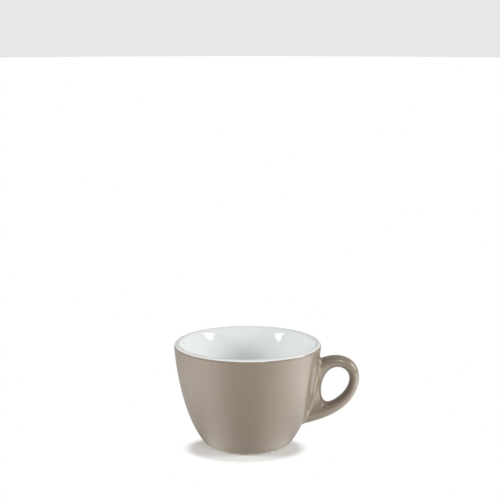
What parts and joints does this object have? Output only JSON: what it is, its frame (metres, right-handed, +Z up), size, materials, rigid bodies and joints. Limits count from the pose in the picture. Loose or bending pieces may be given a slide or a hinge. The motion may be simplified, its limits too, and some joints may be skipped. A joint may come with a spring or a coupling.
{
  "type": "cappuccino cup",
  "caption": "Wide-mouthed glazed cappuccino cup with a white inside and lip, a taupe outside, and an ear handle with an egg-shaped finger hole.",
  "frame": {"origin": "centre of the foot ring, on the plane that the cup stands on", "axes": "+Z up along the cup's axis, +X towards the handle, +Y across the handle"},
  "size_m": [0.1174, 0.093, 0.0661],
  "materials": {
    "fired_clay": "matte",
    "fired_slip": "matte",
    "white_glaze": "gloss",
    "taupe_glaze": "satin gloss"
  },
  "bodies": {
    "root": {"bowl": "fired_clay", "handle": "fired_clay", "slip_joint": "fired_slip", "liner_glaze": "white_glaze", "outer_glaze": "taupe_glaze", "handle_glaze": "taupe_glaze", "foot_well_glaze": "taupe_glaze"}
  },
  "joints": []
}
